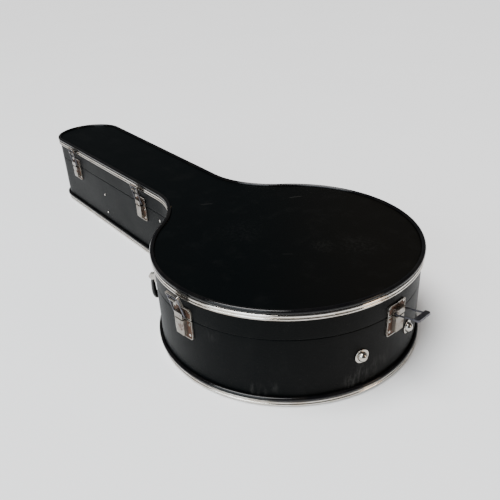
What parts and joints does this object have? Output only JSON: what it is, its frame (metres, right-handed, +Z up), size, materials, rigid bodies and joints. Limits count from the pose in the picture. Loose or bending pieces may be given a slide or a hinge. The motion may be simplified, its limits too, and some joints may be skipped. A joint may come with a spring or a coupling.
{
  "type": "hard-shell instrument case",
  "caption": "Closed hard-shell case for a round-bodied, long-necked string instrument, with hinged lid, wire-bail latches, metal trim, handle and lined interior.",
  "frame": {"origin": "centre of the round body on the flat bottom face", "axes": "+X to the end of the neck, +Y to the side with latches and handle, +Z up out of the lid"},
  "size_m": [1.0528, 0.4252, 0.1539],
  "materials": {
    "leatherette": "satin, fine pebble grain",
    "board": "plain birch plywood",
    "nickel_trim": "polished nickel strip",
    "black_bead": "gloss",
    "plush": "short plush pile",
    "ribbon": "woven ribbon",
    "hardware": "nickel plated",
    "latch_nickel": "worn nickel plate with stains",
    "bail_wire": "tarnished spring wire",
    "hinge_steel": "nickel plated",
    "grip": "smooth, padded",
    "handle_core": "plain"
  },
  "bodies": {
    "base": {"accessory_box": "plush", "base_bottom_bead": "black_bead", "base_bottom_covering": "leatherette", "base_bottom_strip": "nickel_trim", "base_floor_lining": "plush", "base_floor_panel": "board", "base_latch_rivets": "hardware", "base_locating_lip": "board", "base_side_covering": "leatherette", "base_side_wall": "board", "base_wall_lining": "plush", "end_bumpers": "hardware", "handle_bracket_front": "hardware", "handle_bracket_rear": "hardware", "handle_pins": "hardware", "hinge_base_leaf_1": "hinge_steel", "hinge_base_leaf_2": "hinge_steel", "hinge_pins": "hardware", "latch_hook_plate_1": "latch_nickel", "latch_hook_plate_2": "latch_nickel", "latch_hook_plate_3": "latch_nickel", "latch_hook_plate_4": "latch_nickel", "neck_cradle": "plush", "neck_rivets": "hardware"},
    "lid": {"hinge_lid_leaf_1": "hinge_steel", "hinge_lid_leaf_2": "hinge_steel", "latch_lid_plate_1": "latch_nickel", "latch_lid_plate_2": "latch_nickel", "latch_lid_plate_3": "latch_nickel", "latch_lid_plate_4": "latch_nickel", "lid_latch_rivets": "hardware", "lid_side_covering": "leatherette", "lid_side_wall": "board", "lid_top_bead": "black_bead", "lid_top_covering": "leatherette", "lid_top_lining": "plush", "lid_top_panel": "board", "lid_top_strip": "nickel_trim", "lid_wall_lining": "plush"},
    "bail_1": {"latch_bail_wire_1": "bail_wire", "latch_bail_pan_1": "latch_nickel"},
    "bail_2": {"latch_bail_wire_2": "bail_wire", "latch_bail_pan_2": "latch_nickel"},
    "bail_3": {"latch_bail_wire_3": "bail_wire", "latch_bail_pan_3": "latch_nickel"},
    "bail_4": {"latch_bail_wire_4": "bail_wire", "latch_bail_pan_4": "latch_nickel"},
    "handle": {"handle_frame": "handle_core", "handle_grip": "grip"},
    "accessory_flap": {"accessory_lid": "plush", "accessory_pull_tab": "ribbon"}
  },
  "joints": [
    {"name": "lid_hinge", "type": "hinge", "parent": "base", "child": "lid", "pos_m": [0, -0.2055, 0.107], "axis": [1, 0, 0], "range_deg": [0, 100]},
    {"name": "bail_1_hinge", "type": "hinge", "parent": "lid", "child": "bail_1", "pos_m": [-0.02261, 0.20476, 0.111], "axis": [-0.994, -0.1097, 0], "range_deg": [-10, 161.5]},
    {"name": "bail_2_hinge", "type": "hinge", "parent": "lid", "child": "bail_2", "pos_m": [-0.20502, -0.0201, 0.111], "axis": [0.0976, -0.9952, 0], "range_deg": [-74.5, 97]},
    {"name": "bail_3_hinge", "type": "hinge", "parent": "lid", "child": "bail_3", "pos_m": [0.35591, 0.06917, 0.111], "axis": [-0.9998, -0.0182, 0], "range_deg": [-6.5, 165]},
    {"name": "bail_4_hinge", "type": "hinge", "parent": "lid", "child": "bail_4", "pos_m": [0.66091, 0.0747, 0.111], "axis": [-0.9998, -0.0182, 0], "range_deg": [-3.5, 168]},
    {"name": "handle_hinge", "type": "hinge", "parent": "base", "child": "handle", "pos_m": [0.15051, 0.14036, 0.092], "axis": [0.682, -0.7314, 0], "range_deg": [0, 150]},
    {"name": "accessory_flap_hinge", "type": "hinge", "parent": "base", "child": "accessory_flap", "pos_m": [0.303, 0, 0.0404], "axis": [0, -1, 0], "range_deg": [0, 95]}
  ]
}
